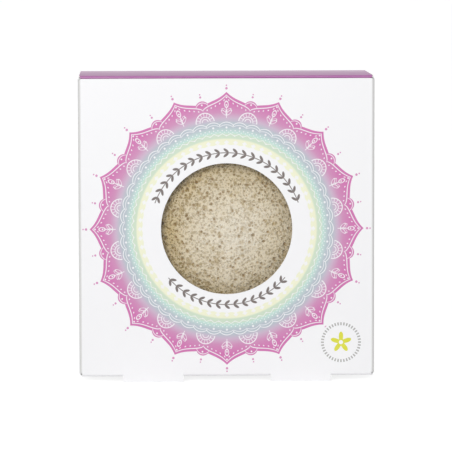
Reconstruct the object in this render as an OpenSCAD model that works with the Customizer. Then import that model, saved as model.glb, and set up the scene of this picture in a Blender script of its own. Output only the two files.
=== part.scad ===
// Konjac face sponge in its windowed paperboard carton.
// Origin: on the surface it stands on, under the middle of the carton. +Z up, front toward -Y.
// The carton is a reverse tuck: the top lid hangs on the back panel, the bottom lid on the front.

/* [Carton] */
// Width over the two side panels
carton_w = 100; // [96:1:120]
// Depth from the front face to the back face
carton_d = 42; // [41:0.5:50]
// Height from the bottom crease to the top crease
body_h = 101.8; // [100:0.1:120]
// Thickness of the paperboard
board_t = 0.45; // [0.35:0.05:0.55]
// Outside radius of the creases between the wrapped panels
corner_r = 0.9; // [0.7:0.1:1.4]
// How far a raw panel end stops short of the lid's outer face
raw_set = 0.9; // [0.7:0.1:1.6]

/* [Feet] */
// Width of one foot tab
foot_w = 20.5; // [12:0.5:26]
// How far the feet hold the carton up
foot_h = 2; // [1:0.1:2.5]
// Distance between the middles of the two tabs of a panel
foot_pitch = 50; // [36:1:60]
// Radius of the foot tabs' lower corners
foot_corner_r = 0.7; // [0.3:0.1:1]
// Width of the die cut beside a foot tab
foot_cut = 0.25; // [0.15:0.05:0.5]

/* [Window] */
// Diameter of the round window
window_dia = 44.4; // [36:0.2:50]
// How far the window's middle lies below the middle of the front
window_drop = 0.35; // [0:0.05:2]
// Side of the square sheet of film behind the window
film_w = 58; // [54:1:70]
// Thickness of the film
film_t = 0.06; // [0.04:0.01:0.1]
// Thickness of a glue layer
glue_t = 0.05; // [0.03:0.01:0.1]
// How far the window glue stays back from the window and from the film's edge
glue_set = 1.2; // [0.5:0.1:2]

/* [Glued seam] */
// Width of the glue flap
seam_flap_w = 12; // [8:1:16]
// How much shorter the glue flap's free edge is at each end
seam_taper = 3; // [1:0.5:6]
// How far the side panel's raw edge stops short of the back face
seam_set = 0.6; // [0.3:0.1:0.8]

/* [Lids and tucks] */
// How far the lids are set in from the side faces
lid_set = 0.4; // [0.2:0.1:0.8]
// Radius of the creases on which the tuck and dust flaps turn
bead_r = 0.5; // [0.5:0.05:0.7]
// Length of the tuck flaps below their crease
tuck_len = 12; // [10:0.5:12.5]
// How far the tuck flaps lean inward
tuck_lean = 16; // [15:1:18]
// Radius of the tuck flaps' free corners
tuck_corner_r = 8; // [3:0.5:9]
// How far the tuck flaps are set in from the lid's sides
tuck_set = 1.2; // [1:0.1:2]
// How far the tuck creases stop short of the lid's sides
crease_set = 0.5; // [0.3:0.1:3]

/* [Dust flaps] */
// Length of the dust flaps
dust_len = 28; // [20:1:30]
// Gap from the tuck crease to the dust flaps
dust_front_set = 2; // [1.8:0.1:4]
// Gap from the hinge panel's outer face to the dust flaps
dust_rear_set = 1.5; // [1.3:0.1:4]
// Angle of the dust flaps' raked edge
dust_rake = 38.7; // [36:0.1:48]
// Length of the dust flaps' straight shoulder before the rake starts
dust_shoulder = 2; // [1:0.5:3]
// Radius of the dust flaps' free corners
dust_corner_r = 2.5; // [1:0.5:4]

/* [Sponge] */
// Gap from the sponge's rim to each side panel
sponge_side_gap = 5.55; // [5:0.05:12]
// Least gap from the sponge's rim up to the top dust flaps
sponge_head_gap = 11.3; // [11:0.1:24]
// Thickness of the sponge at its middle
sponge_t = 32; // [28:0.5:32.5]
// Radius of the sponge's rounded rim
sponge_rim_r = 8; // [6:0.5:9]
// Height of the rim's middle above the back of the sponge
sponge_rim_h = 10.5; // [9.5:0.25:13]

/* [Fits] */
// Clearance between a crease and the flap that turns on it
fold_gap = 0.06; // [0.04:0.01:0.1]
// Gap between flaps that lie on each other
flap_gap = 0.2; // [0.15:0.05:0.3]
// Gap between a tuck crease and the panel it tucks behind
tuck_gap = 0.25; // [0.2:0.05:0.4]
// Gap round the sponge where it lies on the flaps and behind the film
sponge_gap = 0.3; // [0.2:0.05:0.5]

/* [Hidden] */

$fn = 96;
// Points along a rounded flap corner
corner_steps = 8;
// Overrun of every cutting shape
cut_over = 1;

half_w = carton_w / 2;
half_d = carton_d / 2;
top_z = foot_h + body_h;
mid_z = foot_h + body_h / 2;
panel_half_w = half_w - corner_r;
lid_half_w = half_w - lid_set;

// The dust flaps turn under the lid, on the side panels' ends
dust_axis_x = half_w - bead_r;
dust_axis_z = top_z - board_t - flap_gap - bead_r;
// The tuck flap turns on the lid's free edge, behind the raw end of the opposite panel
tuck_axis_y = half_d - board_t - tuck_gap - bead_r;
tuck_axis_z = top_z - bead_r;
// The lid starts beyond the rounded crease that carries it
lid_edge_y = half_d - corner_r - fold_gap;

raw_z = top_z - raw_set;
side_h = 2 * (dust_axis_z - mid_z);
window_z = (foot_h + raw_z) / 2 - window_drop;
// The lids are cut back here so that they swing past the foot tabs
notch_d = sqrt(foot_h * foot_h + board_t * board_t) + foot_cut;

dust_front_y = -(tuck_axis_y - dust_front_set);
dust_rear_y = half_d - dust_rear_set;
dust_tip_y = dust_rear_y - (dust_len - dust_shoulder) * tan(dust_rake);

seam_x = -(half_w - board_t - glue_t);
seam_end_set = board_t + 2 * flap_gap + 2 * bead_r;
seam_h = body_h - 2 * seam_end_set - 2 * flap_gap;

film_y = -(half_d - board_t - glue_t);
sponge_front_y = film_y + film_t + sponge_gap;
sponge_low_z = foot_h + 2 * board_t + flap_gap + sponge_gap;
// The sponge is as large as the carton's width and its height leave room for
sponge_r = min(
    half_w - board_t - sponge_side_gap,
    (dust_axis_z + bead_r - board_t - sponge_head_gap - sponge_low_z) / 2
);
sponge_z = sponge_low_z + sponge_r;
rim_c = sponge_r - sponge_rim_r;
// How far the front and the back rise above the middle of the rim
front_rise = sponge_t - sponge_rim_h;
front_r = crown_radius(front_rise);
back_r = crown_radius(sponge_rim_h);

board_white = [0.95, 0.95, 0.96];
inside_white = [0.90, 0.89, 0.86];
lid_purple = [0.72, 0.45, 0.66];
glue_clear = [0.93, 0.92, 0.85];
film_clear = [0.85, 0.90, 0.92, 0.3];
sponge_cream = [0.80, 0.74, 0.62];

// Radius of the arc that rises this far and meets the rim's arc without a kink
function crown_radius(rise) =
    rise + (rim_c * rim_c - pow(rise - sponge_rim_r, 2)) / (2 * (rise - sponge_rim_r));

function arc(x, y, r, from, to) =
    [for (i = [0:corner_steps]) let (a = from + (to - from) * i / corner_steps) [x + r * cos(a), y + r * sin(a)]];

// A block between two corners
module block(low, high) {
    translate(low) cube(high - low);
}

// Turns the top of the carton into its bottom
module upside_down() {
    translate([0, 0, 2 * mid_z]) rotate([180, 0, 0]) children();
}

module mirrored_x() {
    mirror([1, 0, 0]) children();
}

// A quarter turn of board along Z, with its outer face at radius corner_r
module upright_crease(z_low, z_high) {
    translate([0, 0, z_low]) intersection() {
        difference() {
            cylinder(r = corner_r, h = z_high - z_low);
            translate([0, 0, -cut_over]) cylinder(r = corner_r - board_t, h = z_high - z_low + 2 * cut_over);
        }
        block([0, 0, -cut_over], [corner_r, corner_r, z_high - z_low + cut_over]);
    }
}

// The same quarter turn along X, facing up and back
module level_crease(x_low, x_high) {
    translate([x_low, 0, 0]) rotate([90, 0, 90]) upright_crease(0, x_high - x_low);
}

// A wrapped panel standing at the back, with its crease at the top and its raw end at the bottom.
// cuts lists the widths along the top where foot tabs interrupt the crease.
module wrapped_panel(x_low, x_high, cuts) {
    block([x_low, half_d - board_t, foot_h + raw_set], [x_high, half_d, top_z - corner_r]);
    difference() {
        translate([0, half_d - corner_r, top_z - corner_r]) level_crease(x_low, x_high);
        for (x = cuts) {
            block([x - foot_w / 2 - foot_cut, half_d - corner_r - cut_over, top_z - corner_r],
                  [x + foot_w / 2 + foot_cut, half_d + cut_over, top_z + cut_over]);
        }
    }
}

// A foot tab of the back panel, from the surface up to height z_high
module foot_tab(x, z_high) {
    translate([x, half_d, 0]) rotate([90, 0, 0]) linear_extrude(board_t) union() {
        translate([-foot_w / 2, foot_corner_r]) square([foot_w, z_high - foot_corner_r]);
        translate([foot_corner_r - foot_w / 2, 0]) square([foot_w - 2 * foot_corner_r, foot_corner_r]);
        for (side = [-1, 1]) {
            translate([side * (foot_w / 2 - foot_corner_r), foot_corner_r]) circle(foot_corner_r);
        }
    }
}

// The bead on a side panel's end, on which a dust flap turns
module dust_crease(z) {
    translate([dust_axis_x, dust_front_y, z]) rotate([-90, 0, 0])
        cylinder(r = bead_r, h = dust_rear_y - dust_front_y);
}

// The right side panel with its front crease. rear_y is where its flat part ends.
module side_panel(rear_y) {
    block([half_w - board_t, corner_r - half_d, mid_z - side_h / 2], [half_w, rear_y, mid_z + side_h / 2]);
    translate([panel_half_w, corner_r - half_d, 0]) rotate([0, 0, -90])
        upright_crease(mid_z - side_h / 2, mid_z + side_h / 2);
    dust_crease(mid_z + side_h / 2);
    upside_down() dust_crease(mid_z + side_h / 2);
}

// A lid with its tuck crease. notches lists the middles of its foot notches.
module lid(notches) {
    difference() {
        block([-lid_half_w, -tuck_axis_y, top_z - board_t], [lid_half_w, lid_edge_y, top_z]);
        for (x = notches) {
            block([x - foot_w / 2 - foot_cut, half_d - notch_d, top_z - board_t - cut_over],
                  [x + foot_w / 2 + foot_cut, half_d + cut_over, top_z + cut_over]);
        }
    }
    translate([crease_set - lid_half_w, -tuck_axis_y, tuck_axis_z]) rotate([0, 90, 0])
        cylinder(r = bead_r, h = 2 * (lid_half_w - crease_set));
}

// A tuck flap with round free corners, leaning inward from its crease
module tuck_flap() {
    flap_half_w = lid_half_w - tuck_set;
    flap_start = bead_r + fold_gap;
    translate([0, -tuck_axis_y, tuck_axis_z]) rotate([tuck_lean, 0, 0])
        translate([0, board_t - bead_r, 0]) rotate([90, 0, 0]) linear_extrude(board_t) intersection() {
            translate([-flap_half_w, -tuck_len]) square([2 * flap_half_w, tuck_len - flap_start]);
            union() {
                translate([-flap_half_w, tuck_corner_r - tuck_len]) square([2 * flap_half_w, tuck_len]);
                translate([tuck_corner_r - flap_half_w, -tuck_len])
                    square([2 * (flap_half_w - tuck_corner_r), tuck_len]);
                for (side = [-1, 1]) {
                    translate([side * (flap_half_w - tuck_corner_r), tuck_corner_r - tuck_len])
                        circle(tuck_corner_r);
                }
            }
        }
}

// The right dust flap, lying under the lid, with its rear edge raked clear of the lid's crease
module dust_flap() {
    start_x = dust_axis_x - bead_r - fold_gap;
    end_x = dust_axis_x - dust_len;
    rake_x = dust_axis_x - dust_shoulder;
    tip_x = end_x + dust_corner_r;
    tip_y = dust_tip_y + dust_corner_r * (tan(dust_rake) - 1 / cos(dust_rake));
    translate([0, 0, dust_axis_z + bead_r - board_t]) linear_extrude(board_t) polygon(concat(
        [[start_x, dust_front_y], [start_x, dust_rear_y], [rake_x, dust_rear_y]],
        arc(tip_x, tip_y, dust_corner_r, 90 + dust_rake, 180),
        arc(tip_x, dust_front_y + dust_corner_r, dust_corner_r, 180, 270)
    ));
}

module front_panel() {
    feet = [-foot_pitch / 2, foot_pitch / 2];
    color(board_white) difference() {
        union() {
            upside_down() wrapped_panel(-panel_half_w, panel_half_w, feet);
            for (x = feet) {
                rotate([0, 0, 180]) foot_tab(x, foot_h + corner_r);
            }
        }
        translate([0, cut_over - half_d + board_t, window_z]) rotate([90, 0, 0])
            cylinder(d = window_dia, h = board_t + 2 * cut_over);
    }
}

module back_panel() {
    color(board_white) {
        wrapped_panel(seam_x + corner_r, panel_half_w, []);
        for (x = [-foot_pitch / 2, foot_pitch / 2]) {
            foot_tab(x, foot_h + raw_set);
        }
    }
}

module right_side_panel() {
    color(board_white) {
        side_panel(half_d - corner_r);
        translate([panel_half_w, half_d - corner_r, 0])
            upright_crease(mid_z - side_h / 2, mid_z + side_h / 2);
    }
}

module left_side_panel() {
    color(board_white) mirrored_x() side_panel(half_d - seam_set);
}

// The glue flap turns in from the back panel and lies inside the left side panel
module glue_flap() {
    start_y = half_d - corner_r;
    color(inside_white) {
        translate([seam_x + corner_r, start_y, 0]) rotate([0, 0, 90])
            upright_crease(mid_z - seam_h / 2, mid_z + seam_h / 2);
        translate([seam_x, 0, 0]) rotate([90, 0, 90]) linear_extrude(board_t) polygon([
            [start_y, mid_z - seam_h / 2],
            [start_y, mid_z + seam_h / 2],
            [start_y - seam_flap_w, mid_z + seam_h / 2 - seam_taper],
            [start_y - seam_flap_w, mid_z - seam_h / 2 + seam_taper]
        ]);
    }
}

module seam_glue() {
    start_y = half_d - corner_r - glue_set;
    half_h = seam_h / 2 - seam_taper - glue_set;
    color(glue_clear)
        block([seam_x - glue_t, start_y - seam_flap_w + 2 * glue_set, mid_z - half_h],
              [seam_x, start_y, mid_z + half_h]);
}

module window_film() {
    color(film_clear)
        block([-film_w / 2, film_y, window_z - film_w / 2], [film_w / 2, film_y + film_t, window_z + film_w / 2]);
}

// The glue round the window, between the front panel and the film
module window_glue() {
    half = film_w / 2 - glue_set;
    color(glue_clear) difference() {
        block([-half, film_y - glue_t, window_z - half], [half, film_y, window_z + half]);
        translate([0, film_y + cut_over, window_z]) rotate([90, 0, 0])
            cylinder(d = window_dia + 2 * glue_set, h = glue_t + 2 * cut_over);
    }
}

module top_lid() {
    color(lid_purple) lid([]);
}

module top_tuck_flap() {
    color(lid_purple) tuck_flap();
}

module top_dust_flap_right() {
    color(inside_white) dust_flap();
}

module top_dust_flap_left() {
    color(inside_white) mirrored_x() dust_flap();
}

module bottom_lid() {
    color(board_white) upside_down() lid([-foot_pitch / 2, foot_pitch / 2]);
}

module bottom_tuck_flap() {
    color(board_white) upside_down() tuck_flap();
}

module bottom_dust_flap_right() {
    color(inside_white) upside_down() dust_flap();
}

module bottom_dust_flap_left() {
    color(inside_white) upside_down() mirrored_x() dust_flap();
}

// A puff with a round rim, more domed at the front than at the back, its crown toward the window
module konjac_sponge() {
    // Where the crowns' arcs meet the rim's arc
    front_meet = [rim_c * front_r, sponge_rim_r * (front_r - front_rise)] / (front_r - sponge_rim_r);
    back_meet = [rim_c * back_r, sponge_rim_r * (sponge_rim_h - back_r)] / (back_r - sponge_rim_r);
    color(sponge_cream) translate([0, sponge_front_y + front_rise, sponge_z]) rotate([90, 0, 0])
        rotate_extrude() union() {
            translate([rim_c, 0]) circle(sponge_rim_r);
            intersection() {
                translate([0, front_rise - front_r]) circle(front_r);
                translate([0, back_r - sponge_rim_h]) circle(back_r);
                polygon([
                    [0, -sponge_rim_h], [back_meet.x, -sponge_rim_h], back_meet, [rim_c, 0],
                    front_meet, [front_meet.x, front_rise], [0, front_rise]
                ]);
            }
        }
}

front_panel();
back_panel();
left_side_panel();
right_side_panel();
glue_flap();
seam_glue();
window_film();
window_glue();
top_lid();
top_tuck_flap();
top_dust_flap_left();
top_dust_flap_right();
bottom_lid();
bottom_tuck_flap();
bottom_dust_flap_left();
bottom_dust_flap_right();
konjac_sponge();
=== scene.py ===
# Konjac face sponge in its windowed paperboard carton.
# Row frame: +Z up, the window toward -Y, the carton standing on z = 0. Lengths are in metres.
import math

import bmesh
import bpy
import numpy as np
from mathutils import Matrix, Vector


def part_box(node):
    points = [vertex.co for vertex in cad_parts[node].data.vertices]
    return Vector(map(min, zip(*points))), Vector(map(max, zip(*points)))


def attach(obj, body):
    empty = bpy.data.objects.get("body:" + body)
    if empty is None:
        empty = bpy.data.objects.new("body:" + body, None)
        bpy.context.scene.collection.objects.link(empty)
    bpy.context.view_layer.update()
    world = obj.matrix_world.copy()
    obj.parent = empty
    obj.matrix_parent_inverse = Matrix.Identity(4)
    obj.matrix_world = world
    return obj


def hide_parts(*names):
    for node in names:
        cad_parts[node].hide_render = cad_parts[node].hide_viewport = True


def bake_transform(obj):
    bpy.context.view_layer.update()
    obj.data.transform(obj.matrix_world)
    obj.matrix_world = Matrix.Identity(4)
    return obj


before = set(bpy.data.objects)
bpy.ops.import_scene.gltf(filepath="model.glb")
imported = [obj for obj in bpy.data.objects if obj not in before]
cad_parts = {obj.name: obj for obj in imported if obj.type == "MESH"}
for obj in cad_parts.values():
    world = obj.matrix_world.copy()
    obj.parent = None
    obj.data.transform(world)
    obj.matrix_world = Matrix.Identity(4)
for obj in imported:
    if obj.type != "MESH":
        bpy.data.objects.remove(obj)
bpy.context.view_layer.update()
scene = bpy.context.scene
scene.view_settings.view_transform = "Standard"


# Camera and lamp: a long lens a little left of and above the carton, which keeps its edges
# upright, and one large soft lamp from the front left, as for a product picture on white.
camera = bpy.data.cameras.new("studio_camera")
camera.sensor_width = 36
camera.lens = 260.5
camera.clip_start = 0.05
camera.clip_end = 40
camera_stand = bpy.data.objects.new("studio_camera", camera)
pan, pitch, roll = (math.radians(angle) for angle in (-1.68, 90 - 5.143, -0.12))
camera_stand.matrix_world = (
    Matrix.Translation((-0.0325, -1.121, 0.1521))
    @ Matrix.Rotation(pan, 4, "Z")
    @ Matrix.Rotation(pitch, 4, "X")
    @ Matrix.Rotation(roll, 4, "Z")
)
scene.collection.objects.link(camera_stand)
scene.camera = camera_stand

lamp = bpy.data.lights.new("front_softbox", "AREA")
lamp.shape = "SQUARE"
lamp.size = 0.9
lamp.energy = 20.6
lamp_stand = bpy.data.objects.new("front_softbox", lamp)
lamp_stand.location = (-0.4, -1.9, 0.68)
aim = Vector((0, 0, 0.05)) - lamp_stand.location
lamp_stand.rotation_euler = aim.to_track_quat("-Z", "Y").to_euler()
scene.collection.objects.link(lamp_stand)


# White room and table: a seamless white studio. Both are white to the camera and in reflections,
# and dimmer as a source of light. The table keeps the carton's shadow.
def put(tree, kind, **settings):
    """A new node with its settings."""
    node = tree.nodes.new(kind)
    for key, value in settings.items():
        setattr(node, key, value)
    return node


def plug(tree, socket, value):
    """Link a socket to another socket or to a field, or set its number or colour."""
    value = getattr(value, "socket", value)
    if isinstance(value, bpy.types.NodeSocket):
        tree.links.new(value, socket)
    elif hasattr(socket.default_value, "__len__") and len(value) < len(socket.default_value):
        socket.default_value = (*value, 1)
    else:
        socket.default_value = value


def fill(tree, node, **values):
    """Plug several values in, each by its socket's label with underscores for spaces."""
    for label, value in values.items():
        plug(tree, node.inputs[label.replace("_", " ")], value)


def new_material(name):
    """A material, its tree, and the one finish that covers its surface."""
    material = bpy.data.materials.new(name)
    material.use_nodes = True
    tree = material.node_tree
    tree.nodes.clear()
    finish = put(tree, "ShaderNodeBsdfPrincipled")
    fill(tree, put(tree, "ShaderNodeOutputMaterial"), Surface=finish.outputs[0])
    return material, tree, finish


def rays(tree):
    """Masks of the camera's own rays, and of those with reflections and see-through added."""
    path = put(tree, "ShaderNodeLightPath")
    from_camera = shown = path.outputs["Is Camera Ray"]
    for label in ("Is Glossy Ray", "Is Transmission Ray"):
        either = put(tree, "ShaderNodeMath", operation="MAXIMUM")
        plug(tree, either.inputs[0], shown)
        plug(tree, either.inputs[1], path.outputs[label])
        shown = either.outputs[0]
    return from_camera, shown


def switch(tree, mask, off, on):
    """The number off where the mask is 0, and on where it is 1."""
    node = put(tree, "ShaderNodeMath", operation="MULTIPLY_ADD")
    for socket, value in zip(node.inputs, (mask, on - off, off)):
        plug(tree, socket, value)
    return node.outputs[0]


room = bpy.data.worlds.new("white_room")
room.use_nodes = True
scene.world = room
tree = room.node_tree
tree.nodes.clear()
_, shown = rays(tree)
glow = put(tree, "ShaderNodeBackground")
fill(tree, glow, Color=(1, 1, 1), Strength=switch(tree, shown, 0.42, 1.0))
fill(tree, put(tree, "ShaderNodeOutputWorld"), Surface=glow.outputs[0])

table_mesh = bpy.data.meshes.new("white_table")
table_mesh.from_pydata([(-6, -3, 0), (6, -3, 0), (6, 9, 0), (-6, 9, 0)], [], [(0, 1, 2, 3)])
table = bpy.data.objects.new("white_table", table_mesh)
scene.collection.objects.link(table)
table_white, tree, paint = new_material("white_table")
from_camera, shown = rays(tree)
fill(tree, paint, Base_Color=switch(tree, from_camera, 0.86, 0.5), Roughness=0.9)
fill(tree, paint, Specular_IOR_Level=0.0, Emission_Color=(1, 1, 1))
fill(tree, paint, Emission_Strength=switch(tree, shown, 0.0, 0.8))
table_mesh.materials.append(table_white)


# Side and back panels with the glue flap: carton board, cut and creased from one sheet, folded
# round into a sleeve and glued along the flap. It is coated white outside, greyer with open fibres
# inside, and cream where it was cut.
MM = 0.001
CRISP = 0.05  # blur of an edge between two sides of the board, in millimetres
CARTON_MIDDLE = 52.9  # height of the middle of the board parts, feet left out
CORNER_START = 20.5  # how far from a side panel's middle line its upright corners begin to round
BEAD_START = 49.65  # how far above and below its middle the bead at each end begins
COATED_WHITE = (0.925, 0.925, 0.94)
# Grey for the upright corners: painted shade, with some greying from the strained coating
CORNER_SHADE_GREY = (0.70, 0.70, 0.69)


class Field:
    """A number that varies over a surface. Its sums and products add math nodes to the tree."""

    blur = 0.1

    def __init__(self, tree, socket):
        self.tree = tree
        self.socket = socket

    def step(self, operation, *others, clamp=False):
        """What a math node makes of this number and the others."""
        node = put(self.tree, "ShaderNodeMath", operation=operation, use_clamp=clamp)
        for slot, value in zip(node.inputs, (self, *others)):
            plug(self.tree, slot, value)
        return Field(self.tree, node.outputs[0])

    def __add__(self, other):
        return self.step("ADD", other)

    def __sub__(self, other):
        return self.step("SUBTRACT", other)

    def __mul__(self, other):
        return self.step("MULTIPLY", other)

    def __truediv__(self, other):
        return self.step("DIVIDE", other)

    def __or__(self, other):
        return self.step("MAXIMUM", other)

    def flipped(self):
        return self.step("MULTIPLY_ADD", -1, 1)

    def size(self):
        return self.step("ABSOLUTE")

    def power(self, exponent):
        return self.step("POWER", exponent)

    def root(self):
        return self.step("SQRT")

    def below(self, limit, blur=None):
        """1 where the number is under the limit and 0 over it, with a soft edge."""
        gap = limit - self if isinstance(limit, Field) else self.step("MULTIPLY_ADD", -1, limit)
        return gap.step("MULTIPLY_ADD", 1 / (blur or self.blur), 0.5, clamp=True)

    def above(self, limit, blur=None):
        return self.below(limit, blur).flipped()

    def near(self, value, half_width, blur=None):
        return (self - value).size().below(half_width, blur)


def place(tree):
    """The point on the object, as fields in millimetres."""
    apart = put(tree, "ShaderNodeSeparateXYZ")
    plug(tree, apart.inputs[0], put(tree, "ShaderNodeTexCoord").outputs["Object"])
    return [Field(tree, socket) / MM for socket in apart.outputs]


def turned(tree, way):
    """How far the surface faces a direction."""
    dot = put(tree, "ShaderNodeVectorMath", operation="DOT_PRODUCT")
    plug(tree, dot.inputs[0], put(tree, "ShaderNodeTexCoord").outputs["Normal"])
    plug(tree, dot.inputs[1], way)
    return Field(tree, dot.outputs["Value"])


def noise(tree, scale, detail, roughness=0.55):
    """Cloudy noise fixed to the object."""
    node = put(tree, "ShaderNodeTexNoise")
    where = put(tree, "ShaderNodeTexCoord").outputs["Object"]
    fill(tree, node, Vector=where, Scale=scale, Detail=detail, Roughness=roughness)
    return Field(tree, node.outputs[0])


def lay(tree, under, over, mask):
    """One ink or finish laid over another where mask is 1."""
    mix = put(tree, "ShaderNodeMix", data_type="RGBA")
    # Its colour sockets share their labels with others, so all three go by their place
    for index, value in ((0, mask), (6, under), (7, over)):
        plug(tree, mix.inputs[index], value)
    return mix.outputs[2]


# Outward is the direction that the printed side faces, Skin adds rounded creases to that side, and
# Bow is how far the sheet curves out of its plane.
paperboard = bpy.data.node_groups.new("paperboard", "ShaderNodeTree")
for label, kind, value in (
    ("Ink", "NodeSocketColor", (*COATED_WHITE, 1)),
    ("Outward", "NodeSocketVector", (0, -1, 0)),
    ("Skin", "NodeSocketFloat", 0.0),
    ("Bow", "NodeSocketFloat", 0.0),
):
    taking = paperboard.interface.new_socket(label, in_out="INPUT", socket_type=kind)
    taking.default_value = value
for label, kind in (("Color", "Color"), ("Roughness", "Float"), ("Normal", "Vector")):
    paperboard.interface.new_socket(label, in_out="OUTPUT", socket_type="NodeSocket" + kind)
taken, given = put(paperboard, "NodeGroupInput"), put(paperboard, "NodeGroupOutput")
facing = turned(paperboard, taken.outputs["Outward"])
printed = facing.above(0.3, 0.05) | Field(paperboard, taken.outputs["Skin"])
cut = facing.above(-0.3, 0.05)
mottle = noise(paperboard, 260, 2)
fibres = noise(paperboard, 2400, 4, 0.7)
raw = lay(paperboard, (0.66, 0.645, 0.60), (0.80, 0.79, 0.755), fibres)
edge = lay(paperboard, (0.84, 0.80, 0.73), (0.93, 0.91, 0.87), fibres)
soft_ink = lay(paperboard, taken.outputs["Ink"], (1, 1, 1), mottle.above(0.62, 0.3) * 0.02)
bow = put(paperboard, "ShaderNodeBump")
fill(paperboard, bow, Distance=MM, Height=taken.outputs["Bow"])
tooth = put(paperboard, "ShaderNodeBump")
fill(paperboard, tooth, Normal=bow.outputs[0], Strength=0.25, Distance=0.02 * MM)
fill(paperboard, tooth, Height=fibres * (printed * -0.95 + 1) + mottle * 0.1)
fill(
    paperboard,
    given,
    Color=lay(paperboard, lay(paperboard, raw, edge, cut), soft_ink, printed),
    Roughness=(printed * -0.58 + 0.88) + (mottle + -0.5) * 0.06,
    Normal=tooth.outputs[0],
)


def board_material(name, outward, ink=COATED_WHITE, skin=0.0, bow=0.0):
    """Board. Ink, skin and bow are values, or functions that make them in the material's tree."""
    material, tree, varnish = new_material(name)
    sheet = put(tree, "ShaderNodeGroup", node_tree=paperboard)
    ink, skin, bow = (part(tree) if callable(part) else part for part in (ink, skin, bow))
    fill(tree, sheet, Ink=ink, Outward=outward, Skin=skin, Bow=bow)
    colour, roughness, normal = sheet.outputs
    fill(tree, varnish, Base_Color=colour, Roughness=roughness, Normal=normal)
    fill(tree, varnish, Specular_IOR_Level=0.8)
    return material


def dress(material, *nodes):
    """Give CAD nodes their finish."""
    for name in nodes:
        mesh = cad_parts[name].data
        mesh.materials.clear()
        mesh.materials.append(material)


def side_skin(tree):
    """The rounded corners and the bead at each end, which turn away from the panel's direction."""
    _, y, z = place(tree)
    bead = (z - CARTON_MIDDLE).size().above(BEAD_START, CRISP)
    return y.size().above(CORNER_START, CRISP) | bead


def side_ink_and_corner_shade(tree):
    """Partly painted shade, partly the strained coating: the white is greyer where the board bends
    round the upright corners and turns away from the front.
    """
    _, y, _ = place(tree)
    return lay(tree, COATED_WHITE, CORNER_SHADE_GREY, y.size().near(20.65, 0.45, 0.35))


def back_skin(tree):
    """The bead of the top lid's crease."""
    _, _, z = place(tree)
    return z.above(102.95, CRISP)


dress(board_material("right_board", (1, 0, 0), side_ink_and_corner_shade, side_skin), "right_side_panel")
dress(board_material("left_board", (-1, 0, 0), side_ink_and_corner_shade, side_skin), "left_side_panel")
dress(board_material("back_board", (0, 1, 0), skin=back_skin), "back_panel")
dress(board_material("flap_board", (-1, 0, 0)), "glue_flap")


# Front panel: the same board with the round window cut through it, printed in flat inks round the
# window with a lotus rosette of sixteen petals, before the sheet was cut and folded. The ornament
# is drawn in polar measures about the window's middle, in millimetres.
WINDOW_Z = 52.1
PETALS = 16
LEMON_START = 28.4
RAMP_SPAN = 20
PINK = (0.60, 0.13, 0.40)
ROSE = (0.595, 0.235, 0.455)
LILAC = (0.585, 0.43, 0.575)
BLUE_GREY = (0.45, 0.51, 0.57)
TEAL = (0.52, 0.735, 0.665)
SPRING_GREEN = (0.60, 0.73, 0.57)
LEMON = (0.87, 0.88, 0.65)
TAUPE = (0.125, 0.095, 0.085)
GREY = (0.30, 0.30, 0.28)
CHARTREUSE = (0.70, 0.70, 0.01)


class Polar:
    """Measures about a point of the front: reach from it, and turn as a part of a circle."""

    def __init__(self, x, z):
        self.reach = (x * x + z * z).root()
        self.turn = z.step("ARCTAN2", x) * (1 / math.tau)

    def share(self, count, shift=0.0):
        """From -0.5 to 0.5 across each of count equal sectors."""
        return (self.turn * count + (0.5 - shift)).step("FRACT") - 0.5

    def aside(self, count, shift=0.0):
        """Distance from the middle line of the nearest of count sectors."""
        return self.share(count, shift).size() * self.reach * (math.tau / count)

    def beads(self, count, radius, half, shift=0.0):
        """A ring of count round beads of a half width."""
        aside = self.aside(count, shift)
        away = self.reach - radius
        return (aside * aside + away * away).root().below(half)


def petal_edge(polar, valley, rise, point):
    """Reach of a row of petals with full shoulders and a drawn-out point."""
    near_tip = polar.share(PETALS).size().step("MULTIPLY_ADD", -2, 1, clamp=True)
    return near_tip.root() * (rise * (1 - point)) + near_tip.power(4) * (rise * point) + valley


def ring_inks(tree, reach):
    """Flat inks, from the lemon ring out to the petals."""
    bands = put(tree, "ShaderNodeValToRGB")
    stops = bands.color_ramp.elements
    stops.remove(stops[0])
    stops[0].position = 0
    stops[0].color = (*LEMON, 1)
    for radius, ink in (
        (30.2, LEMON), (30.8, SPRING_GREEN), (31.9, SPRING_GREEN),
        (32.6, TEAL), (34.5, BLUE_GREY), (35.8, BLUE_GREY),
        (37.4, LILAC), (39.4, ROSE), (42.4, PINK),
    ):
        stop = stops.new((radius - LEMON_START) / RAMP_SPAN)
        stop.color = (*ink, 1)
    plug(tree, bands.inputs[0], (reach - LEMON_START) / RAMP_SPAN)
    return bands.outputs[0]


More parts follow.
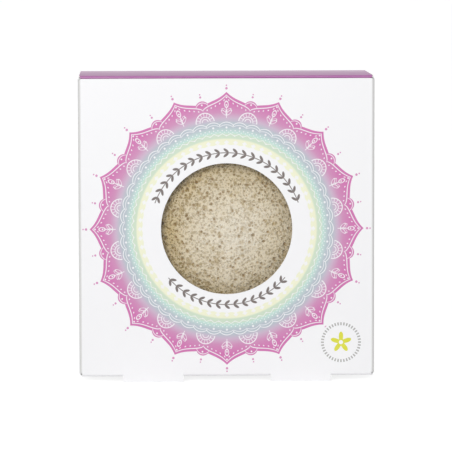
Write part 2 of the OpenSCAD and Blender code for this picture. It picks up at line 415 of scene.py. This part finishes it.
def white_lines(polar, outer, tuft):
    """The drawing left bare in the inks, as a mask."""
    reach = polar.reach
    inset = outer - reach
    # An inner edge and a row of beads along each petal
    white = inset.near(1.05, 0.17) * reach.above(40.0, 0.4)
    run = ((polar.share(PETALS) * 11).step("FRACT") - 0.5) * 1.6
    away = inset - 2.05
    white = white | (run * run + away * away).root().below(0.25) * reach.above(39.6)
    # A bud on a stem, with two pairs of leaves
    aside = polar.aside(PETALS)
    bud = ((aside / 0.75).power(2) + ((reach - 42.1) / 1.25).power(2)).root()
    white = white | bud.near(0.82, 0.17, 0.12) | aside.below(0.12) * reach.near(39.2, 1.7)
    for radius, lean, size in ((38.4, 0.75, 1.3), (39.6, 0.95, 1.0)):
        out = aside * math.sin(lean) + (reach - radius) * math.cos(lean) + -size
        across = aside * math.cos(lean) - (reach - radius) * math.sin(lean)
        leaf = ((out / size).power(2) + (across / (size * 0.4)).power(2)).root()
        white = white | leaf.near(0.85, 0.14, 0.16)
    # A shell of arcs and ribs where two petals meet, and the outline of the tuft behind it
    aside = polar.aside(PETALS, 0.5)
    rise = reach - 36.7
    shell = (aside * aside + rise * rise).root()
    over = rise.above(0)
    rib = (rise.step("ARCTAN2", aside) * (8 / math.pi) + 0.5).step("FRACT") - 0.5
    arcs = shell.near(1.0, 0.13) | shell.near(1.75, 0.13) | shell.near(3.1, 0.17)
    white = white | arcs * over | rib.size().below(0.09, 0.1) * shell.near(2.4, 0.6) * over
    white = white | (tuft - reach).near(0.55, 0.14) * reach.above(42.0, 0.3)
    # Scallops and a zigzag on the blue and green rings, and the lattice of the lemon ring
    for radius, depth, width in ((36.1, 0.9, 0.14), (35.2, 0.7, 0.1)):
        scallop = polar.share(48).size() * 2
        white = white | (reach - ((scallop * scallop) * -depth + radius)).size().below(width)
    white = white | (reach - (polar.share(72).size() * 1.7 + 31.4)).size().below(0.12)
    white = white | (polar.aside(60) * 0.8 + (reach - 29.3).size()).below(0.72)
    white = white | (reach - (polar.share(60, 0.5).size() * 1.2 + 28.25)).below(0)
    # Rows of beads: how many, how far out, half their width, and their shift within a sector
    for row in (
        (PETALS, 41.9, 0.27), (PETALS, 44.45, 0.3), (PETALS, 42.6, 0.3, 0.5),
        (48, 34.3, 0.36), (48, 35.0, 0.2, 0.5), (72, 31.55, 0.2),
        (144, 33.3, 0.2), (144, 32.7, 0.16, 0.5),
    ):
        white = white | polar.beads(*row)
    return white


def sprigs(polar):
    """Two sprigs of small leaning leaves along a stem on the white band, as a mask."""
    away = polar.reach - 25.75
    along = polar.share(54, 0.5) * polar.reach * (math.tau / 54) + -0.15
    off = away.size() - 0.76
    lean = math.radians(38)
    length = (along * math.cos(lean) + off * math.sin(lean)) / 1.07
    girth = (off * math.cos(lean) - along * math.sin(lean)) / 0.43
    leaf = (length * length + girth * girth).below(1, 0.5) | away.size().below(0.15)
    degree = polar.turn * 360
    return leaf * (degree.near(90, 70, 0.2) | degree.near(-90, 50, 0.2))


def rosette(tree):
    """The whole print of the front."""
    x, _, z = place(tree)
    polar = Polar(x, z - WINDOW_Z)
    reach = polar.reach
    outer = petal_edge(polar, 41.5, 4.8, 0.42)
    # A rounded tuft of leaf between each two petals
    tuft = (polar.aside(PETALS, 0.5) / 2.5).power(2).flipped().step("MAXIMUM", 0).root()
    tuft = tuft * 2.7 + 41.2
    inked = ((outer - reach).above(0) | (tuft - reach).above(0)) * reach.above(LEMON_START)
    colour = lay(tree, COATED_WHITE, ring_inks(tree, reach), inked)
    colour = lay(tree, colour, COATED_WHITE, white_lines(polar, outer, tuft) * 0.88)
    # Beads beyond the petals, left out where the corner mark is
    mark = Polar(x - 38.7, z - (WINDOW_Z - 38.8))
    outside = polar.beads(PETALS, 47.5, 0.42)
    for row in ((48.5, 0.26), (45.3, 0.36, 0.5), (46.2, 0.24, 0.5)):
        outside = outside | polar.beads(PETALS, *row)
    colour = lay(tree, colour, PINK, outside * mark.reach.above(7.4) * 0.85)
    colour = lay(tree, colour, TAUPE, sprigs(polar))
    # Small round mark: a ring of ticks and a five-petal flower
    ticks = mark.share(40).size().below(0.24, 0.1) * mark.reach.near(6.3, 0.5)
    colour = lay(tree, colour, GREY, ticks * 0.85)
    flower = (mark.share(5, 0.25).size() * math.tau).step("COSINE")
    flower = mark.reach.below(flower.step("MULTIPLY_ADD", 1.2, 2.4)) * mark.reach.above(0.7)
    return lay(tree, colour, CHARTREUSE, flower)


def front_skin(tree):
    """The rounded crease along the bottom."""
    _, _, z = place(tree)
    return z.near(2.45, 0.5, CRISP)


dress(board_material("front_print", (0, -1, 0), rosette, front_skin), "front_panel")


# Lids and tuck flaps: board of the same sheet, creased from the back panel at the top and from the
# front panel at the bottom. The top pair is printed all over in one purple ink, the bottom pair is
# white. Each tuck flap leans in behind the panel that it closes against.
PURPLE = (0.41, 0.105, 0.355)
WORN_PURPLE = (0.48, 0.19, 0.42)
FOLD_START = 19.2  # how far from the lid's middle line its two creases begin
TUCK_CREASE = 49.3  # half the length of the tuck's crease
TUCK_LEAN = math.radians(16)
TUCK_OUT = Vector((0, math.cos(TUCK_LEAN), math.sin(TUCK_LEAN)))


def lid_ink(tree):
    """The purple wears a little paler where the board is folded."""
    _, y, _ = place(tree)
    grain = noise(tree, 1500, 3)
    fold = y.size().above(20.15, 0.1) | (y.size() - 19.8).size().below(0.55, 0.2)
    return lay(tree, PURPLE, WORN_PURPLE, fold * grain.above(0.62, 0.15) * 0.22)


def lid_skin(tree, up):
    """The outer side of a lid's two creases. The tuck's crease stops short of the lid's ends."""
    x, y, _ = place(tree)
    tuck = turned(tree, (0, -0.8 * up, 0.6 * up)).above(-0.4, 0.1)
    hinge = turned(tree, (0, 0.8 * up, 0.6 * up)).above(-0.4, 0.1)
    toward_tuck = (y * up).below(-FOLD_START, CRISP) * x.size().below(TUCK_CREASE, CRISP)
    return tuck * toward_tuck | hinge * (y * up).above(FOLD_START, CRISP)


def top_lid_skin(tree):
    return lid_skin(tree, 1)


def bottom_lid_skin(tree):
    return lid_skin(tree, -1)


def lid_bow(tree):
    """The lid curves down toward its tuck crease."""
    _, y, _ = place(tree)
    return (y * (-1 / 39) + 0.25).step("MAXIMUM", 0).power(1.5) * -6.0


dress(board_material("top_lid_board", (0, 0, 1), lid_ink, top_lid_skin, lid_bow), "top_lid")
top_tuck_board = board_material("top_tuck_board", -TUCK_OUT, lid_ink)
dress(top_tuck_board, "top_tuck_flap")
dress(board_material("bottom_lid_board", (0, 0, -1), skin=bottom_lid_skin), "bottom_lid")
bottom_tuck_board = board_material("bottom_tuck_board", TUCK_OUT)
dress(bottom_tuck_board, "bottom_tuck_flap")


# Creases of the two lids: the board itself, pressed thin and rounded by a creasing rule. A strip
# runs from the panel into the lid, bent round the crease. At the bottom it is cut out for the
# feet.
CREASE_Y, CREASE_Z = 20.1, 102.9  # middle of the top crease's round
CREASE_RADIUS = 0.675  # to the middle of the strip
HALF_STRIP = 0.14  # half its thickness


def board_piece(name, corners, faces, material):
    """A mesh object from corners in millimetres, with its faces turned outward."""
    mesh = bpy.data.meshes.new(name)
    mesh.from_pydata([Vector(corner) * MM for corner in corners], [], faces)
    work = bmesh.new()
    work.from_mesh(mesh)
    bmesh.ops.recalc_face_normals(work, faces=work.faces)
    work.to_mesh(mesh)
    work.free()
    mesh.materials.append(material)
    piece = bpy.data.objects.new(name, mesh)
    scene.collection.objects.link(piece)
    return piece


def turned_over(point):
    """The same place at the carton's other end, which is the same end turned upside down."""
    return Vector((point[0], -point[1], 2 * CARTON_MIDDLE - point[2]))


fold_inside = board_material("fold_inside", (0, 0, 1), (0.72, 0.705, 0.66), 1.0)


def crease_strip(name, spans, start, turn, material):
    """A bent strip over each span along X, from an angle of the crease's round to the lid."""
    bend = [math.radians(angle) for angle in range(start, 90, 10)]
    path = [
        (CREASE_Y + CREASE_RADIUS * math.cos(a), CREASE_Z + CREASE_RADIUS * math.sin(a))
        for a in bend
    ]
    path += [(CREASE_Y - 0.1 * i, CREASE_Z + CREASE_RADIUS) for i in range(12)]
    corners, faces = [], []
    for low, high in spans:
        first = len(corners)
        for i, (y, z) in enumerate(path):
            before, after = path[max(i - 1, 0)], path[min(i + 1, len(path) - 1)]
            away = Vector((after[1] - before[1], before[0] - after[0])).normalized() * HALF_STRIP
            for x, side in ((low, -1), (high, -1), (high, 1), (low, 1)):
                corners.append(turn((x, y + side * away.x, z + side * away.y)))
        last = first + 4 * (len(path) - 1)
        for ring in range(first, last, 4):
            for k in range(4):
                after = (k + 1) % 4
                faces.append((ring + k, ring + after, ring + 4 + after, ring + 4 + k))
        faces += [tuple(range(first, first + 4)), tuple(range(last, last + 4))]
    strip = board_piece(name, corners, faces, material)
    strip.data.materials.append(fold_inside)
    # A span has four faces a step and its two ends, and the third face of each step is the outside
    for face in strip.data.polygons:
        face.material_index = 0 if face.index % (4 * len(path) - 2) % 4 == 2 else 1
    return strip


purple_fold = board_material("purple_fold", (0, 0, 1), lid_ink, 1.0)
strip = crease_strip("top_lid_crease", [(-49, 49)], 20, Vector, purple_fold)
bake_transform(strip)
white_fold = board_material("white_fold", (0, 0, -1), skin=1.0)
spans = [(-49, -35.27), (-14.73, 14.73), (35.27, 49)]
strip = crease_strip("bottom_lid_crease", spans, -20, turned_over, white_fold)
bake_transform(strip)


# Dust flaps: two at each end, creased from the side panels and folded in under the lid.
# They are plain board of the same sheet, with the coated side out.
top_dust_board = board_material("top_dust_board", (0, 0, 1))
dress(top_dust_board, "top_dust_flap_left", "top_dust_flap_right")
bottom_dust_board = board_material("bottom_dust_board", (0, 0, -1))
dress(bottom_dust_board, "bottom_dust_flap_left", "bottom_dust_flap_right")


# Outer skin of the flaps' folds: the coated layer of the board, stretched round each bead.
# Each strip turns with its flap, and runs on over the crease that the flap turns about.
def fold_skin_strip(name, body, end_face, span, material):
    """A four-sided strip from one end face, as long as the span, that rides on a body."""
    corners = [*end_face, *(corner + span for corner in end_face)]
    sides = [(k, (k + 1) % 4, 4 + (k + 1) % 4, 4 + k) for k in range(4)]
    faces = [(0, 1, 2, 3), (4, 5, 6, 7), *sides]
    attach(board_piece(name, corners, faces, material), body)


# Its cross-section beside a bead, along the flap and outward, which are both negative
skin_section = [(0.02, -0.5), (-0.64, -0.5), (-0.64, -0.36), (0.02, -0.42)]
leaning = Matrix.Rotation(TUCK_LEAN, 3, "X")
tuck_bead = Vector((-48.4, -19.8, 103.3))
tuck_end = [tuck_bead + leaning @ Vector((0, out, down)) for down, out in skin_section]
dust_end = [Vector((49.5 + down, -17.8, 102.65 - out)) for down, out in skin_section]
tuck_width, dust_width = Vector((96.8, 0, 0)), Vector((0, 37.3, 0))
for end, turn, along, tuck_board, dust_board, slot in (
    ("top", Vector, dust_width, top_tuck_board, top_dust_board, "lid_board"),
    ("bottom", turned_over, -dust_width, bottom_tuck_board, bottom_dust_board, "printed_board"),
):
    face = [turn(corner) for corner in tuck_end]
    fold_skin_strip(end + "_tuck_fold", end + "_tuck", face, tuck_width, tuck_board)
    for side, sign in (("left", -1), ("right", 1)):
        face = [turn((corner.x * sign, corner.y, corner.z)) for corner in dust_end]
        name, body = f"{end}_dust_fold_{side}", f"{end}_dust_{side}"
        fold_skin_strip(name, body, face, along, dust_board)


# Window film: clear cellulose, cut square and laid flat behind the window.
# It is thin and glossy, and a little wavy between the points where it is glued.
film, tree, sheet = new_material("clear_film")
waves = put(tree, "ShaderNodeBump")
fill(tree, waves, Strength=0.2, Distance=0.1 * MM, Height=noise(tree, 70, 2))
fill(tree, sheet, Base_Color=(0.55, 0.57, 0.57), Roughness=0.12, Alpha=0.04)
fill(tree, sheet, Normal=waves.outputs[0])
dress(film, "window_film")


# Glue: clear carton adhesive, dried to a pale yellow with a dull shine.
# A ring of it holds the film behind the window, and a line of it closes the sleeve's seam.
glue, tree, bead = new_material("dried_glue")
blots = lay(tree, (0.80, 0.78, 0.68), (0.88, 0.87, 0.80), noise(tree, 900, 3))
fill(tree, bead, Base_Color=blots, Roughness=0.4)
dress(glue, "seam_glue", "window_glue")


# Konjac sponge: one moulded puff of plant fibre gel, freeze-dried, so that it is full of open
# pores. It stands loose in the carton with its crown behind the film. Its surface is drawn in
# rings from the front pole round the rim to the back pole, finest behind the window.
RIM, FACE_REACH = 8.0, 36.0  # radius of the rim's round, and reach of that round's middle
THICKNESS, DOME = 32.0, 21.5  # of the whole puff, and of its front up to the rim's middle
CROWN_LIFT = 4.6  # from the sponge's middle to the window's
PORE_CELL = 1.5  # side of the cells that pores and points are sorted into


def puff_outline():
    """Radius and depth behind the front, along the puff's half outline, as its solid has them."""
    points = []
    for height, sign in ((DOME, 1), (THICKNESS - DOME, -1)):
        crown = height + (FACE_REACH**2 - (height - RIM) ** 2) / (2 * (height - RIM))
        end = math.atan2(FACE_REACH, crown - height)
        half = [
            (crown * math.sin(a), crown * math.cos(a) - (crown - height))
            for a in np.linspace(0, end, 500)
        ]
        half += [
            (FACE_REACH + RIM * math.sin(a), RIM * math.cos(a))
            for a in np.linspace(end, math.pi / 2, 200)[1:]
        ]
        half = [(radius, DOME - sign * rise) for radius, rise in half]
        points += half if sign == 1 else half[-2::-1]
    return np.array(points)


def puff_rings(outline):
    """Rings of points, and the triangles that join each ring to the next."""
    run = np.concatenate([[0], np.cumsum(np.hypot(*np.diff(outline, axis=0).T))])
    total = run[-1]
    knots, gaps = [0, 23.5, 27, 42, 50, total], [0.23, 0.23, 0.44, 0.44, 0.6, 0.6]

    def spacing(at):
        """How far apart the points are at a length along the outline."""
        return float(np.interp(at, knots, gaps))

    stations = [0.0]
    while stations[-1] < total - spacing(stations[-1]):
        stations.append(stations[-1] + spacing(stations[-1]) * 0.866)
    stations[-1] = total
    points, counts, turn = [], [], 0.0
    for at in stations:
        radius = np.interp(at, run, outline[:, 0])
        depth = np.interp(at, run, outline[:, 1])
        count = 1 if at in (0.0, total) else max(6, round(math.tau * radius / spacing(at)))
        turn = 0.5 - turn
        angles = (np.arange(count) + turn) * math.tau / count
        ring = [radius * np.cos(angles), np.full(count, depth), radius * np.sin(angles)]
        points.append(np.stack(ring, 1))
        counts.append((count, turn))
    faces, start = [], 0
    for (inner, turn_in), (outer, turn_out) in zip(counts, counts[1:]):
        i = j = 0
        # A pole is one point, and has no step of its own to take
        steps_in, steps_out = (0 if count == 1 else count for count in (inner, outer))
        while i < steps_in or j < steps_out:
            here, there = start + i % inner, start + inner + j % outer
            next_in = (turn_in + i + 1) / inner if i < steps_in else math.inf
            next_out = (turn_out + j + 1) / outer if j < steps_out else math.inf
            if next_in < next_out:
                faces.append((here, start + (i + 1) % inner, there))
                i += 1
            else:
                faces.append((here, start + inner + (j + 1) % outer, there))
                j += 1
        start += inner
    return np.concatenate(points), faces


def waviness(points, scale, seed, strength):
    """Slow lumps: a few summed waves in random directions."""
    draw = np.random.default_rng(seed)
    total = np.zeros(len(points))
    for _ in range(9):
        way = draw.normal(size=3)
        way /= np.linalg.norm(way)
        length = scale * draw.uniform(0.7, 1.4)
        total += np.sin(points @ way * math.tau / length + draw.uniform(0, math.tau))
    return total * strength / 3


skin, triangles = puff_rings(puff_outline())
mesh = bpy.data.meshes.new("konjac_puff")
mesh.from_pydata((skin * MM).tolist(), [], triangles)
mesh.update()
normals = np.zeros(len(skin) * 3)
mesh.vertices.foreach_get("normal", normals)
normals = normals.reshape(-1, 3)
if np.sum(normals * (skin - skin.mean(0))) < 0:
    mesh.flip_normals()
    normals *= -1

# Pores: pits of mixed size, thrown like darts. The small ones are only where the mesh is fine.
chance = np.random.default_rng(7)
triangles = np.array(triangles)
corners = skin[triangles]
sides = corners[:, 1] - corners[:, 0], corners[:, 2] - corners[:, 0]
face_area = np.linalg.norm(np.cross(*sides), axis=1) / 2
area = np.zeros(len(skin))
for k in range(3):
    np.add.at(area, triangles[:, k], face_area / 3)
everywhere = np.ones(len(skin))
behind_window = ((skin[:, 1] < 12) & (np.hypot(skin[:, 0], skin[:, 2]) < 25)).astype(float)
throws = []
# Smallest and largest radius, how many on a square millimetre, and where
for low, high, density, mask in ((0.42, 0.8, 0.12, everywhere), (0.24, 0.46, 0.8, behind_window)):
    bias = area * mask
    count = int(bias.sum() * density)
    spots = chance.choice(len(skin), count, p=bias / bias.sum())
    throws += zip(spots, low + (high - low) * chance.beta(1.2, 3.0, count))


def squeeze():
    """A random stretch that makes a pore oval."""
    way = chance.normal(size=3)
    way /= np.linalg.norm(way)
    return np.eye(3) + np.outer(way, way) * chance.uniform(0, 0.6)


cells = {}
for index, cell in enumerate(np.floor(skin / PORE_CELL).astype(int).tolist()):
    cells.setdefault(tuple(cell), []).append(index)
steps = [(i, j, k) for i in (-1, 0, 1) for j in (-1, 0, 1) for k in (-1, 0, 1)]
pit = np.zeros(len(skin))
landed = {}
for spot, radius in throws:
    centre = skin[spot]
    home = np.floor(centre / PORE_CELL).astype(int).tolist()
    around = [(home[0] + i, home[1] + j, home[2] + k) for i, j, k in steps]
    others = [pore for cell in around for pore in landed.get(cell, ())]
    if any(np.linalg.norm(centre - other) < (radius + size) * 0.92 for other, size in others):
        continue
    landed.setdefault(tuple(home), []).append((centre, radius))
    near = [i for cell in around for i in cells.get(cell, ())]
    away = np.linalg.norm((skin[near] - centre) @ squeeze(), axis=1) / radius
    bowl = np.clip(1 - away**2, 0, 1) ** 0.7
    pit[near] = np.maximum(pit[near], bowl * radius * 1.1)

rise = np.clip((DOME - skin[:, 1]) / DOME, 0, 1)
skin[:, 2] += CROWN_LIFT * rise * rise * (3 - 2 * rise)
lumps = waviness(skin, 26, 3, 0.22) + waviness(skin, 8, 4, 0.07)
skin -= normals * (pit + 0.35 + lumps)[:, None]
low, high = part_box("konjac_sponge")
centre = (low + high) / 2
skin = skin * MM + np.array([centre.x, low.y, centre.z])
mesh.vertices.foreach_set("co", skin.reshape(-1))
pores = mesh.attributes.new("pore", "FLOAT", "POINT")
pores.data.foreach_set("value", np.clip(pit / 0.6, 0, 1).astype(np.float32))
mesh.shade_smooth()
mesh.update()
puff = bpy.data.objects.new("konjac_puff", mesh)
scene.collection.objects.link(puff)

# Its gel: cream, with painted shade that makes it darker and more golden away from the pale crown,
# standing in for the carton's shade round the window; with small specks and softer blotches
LEAST_SHADE_X, LEAST_SHADE_Z = 3.4, WINDOW_Z - 1.8  # middle of the pale crown, where the painted shade is least
SHADE_START, SHADE_FULL = 3, 28  # where the painted shade begins, and where it is full
gel, tree, gel_skin = new_material("konjac_gel")
depth = Field(tree, put(tree, "ShaderNodeAttribute", attribute_name="pore").outputs["Fac"])
cloud = noise(tree, 150, 3)
fibre = noise(tree, 2600, 4, 0.65)
swirl = put(tree, "ShaderNodeTexNoise")
where = put(tree, "ShaderNodeTexCoord").outputs["Object"]
fill(tree, swirl, Vector=where, Scale=1300)
bent = put(tree, "ShaderNodeVectorMath", operation="MULTIPLY_ADD")
for socket, value in zip(bent.inputs, (swirl.outputs["Color"], (0.7 * MM,) * 3, where)):
    plug(tree, socket, value)
x, y, z = place(tree)
patch = noise(tree, 75, 2)
reach = Polar((x - LEAST_SHADE_X) * 1.08, z - LEAST_SHADE_Z).reach + (patch - 0.5) * 20
shade = (reach - SHADE_START) / (SHADE_FULL - SHADE_START)
shade = shade.step("ADD", 0, clamp=True).power(1.5)
# A little less painted shade on the rim, and one middling tone of it on the back
shade = shade * (reach.above(30, 16) * -0.3 + 1) * y.below(2, 16) + y.above(2, 16) * 0.6
shade = shade * (cloud * 0.6 + 0.7)


def specks(scale, spread, least, blur):
    """Spots of mixed size, one in each cell of a scattered pattern."""
    cell = put(tree, "ShaderNodeTexVoronoi")
    fill(tree, cell, Vector=bent.outputs[0], Scale=scale)
    draw = put(tree, "ShaderNodeSeparateColor")
    plug(tree, draw.inputs[0], cell.outputs["Color"])
    # The spots widen where the painted shade is stronger
    wide = Field(tree, draw.outputs[0]) * spread + shade * 0.06 + least
    return Field(tree, cell.outputs["Distance"]).below(wide, blur)


# Specks are painted shade of fine pores; specks and blotches both grow darker toward the rim with
# the painted shade
speck = specks(850, 0.36, 0.08, 0.22) | specks(1500, 0.32, 0.08, 0.22)
blotch = specks(480, 0.4, -0.04, 0.25) | specks(340, 0.5, -0.16, 0.2)
cream = lay(tree, (0.84, 0.733, 0.548), (0.92, 0.838, 0.68), cloud)
for colour, mask in (
    ((0.97, 0.94, 0.85), fibre.above(0.55, 0.12) * 0.75),
    # Painted shade: golden brown laid on away from the crown, where the carton shades the gel
    ((0.64, 0.45, 0.13), shade * 0.75),
    ((0.50, 0.36, 0.155), blotch * (shade * 0.5 + 0.44)),
    ((0.33, 0.222, 0.062), speck * (shade * 0.9 + 0.24)),
    # Painted shade in the pores' pits, darker where a pit is deeper
    ((0.30, 0.18, 0.045), depth.power(0.8) * (shade * 0.25 + 0.65)),
):
    cream = lay(tree, cream, colour, mask)
dents = put(tree, "ShaderNodeBump")
fill(tree, dents, Strength=0.7, Distance=0.25 * MM, Height=speck * -1 + fibre * 0.35)
fill(tree, gel_skin, Base_Color=cream, Roughness=0.85, Specular_IOR_Level=0.25)
fill(tree, gel_skin, Normal=dents.outputs[0])
mesh.materials.append(gel)
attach(puff, "sponge")
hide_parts("konjac_sponge")
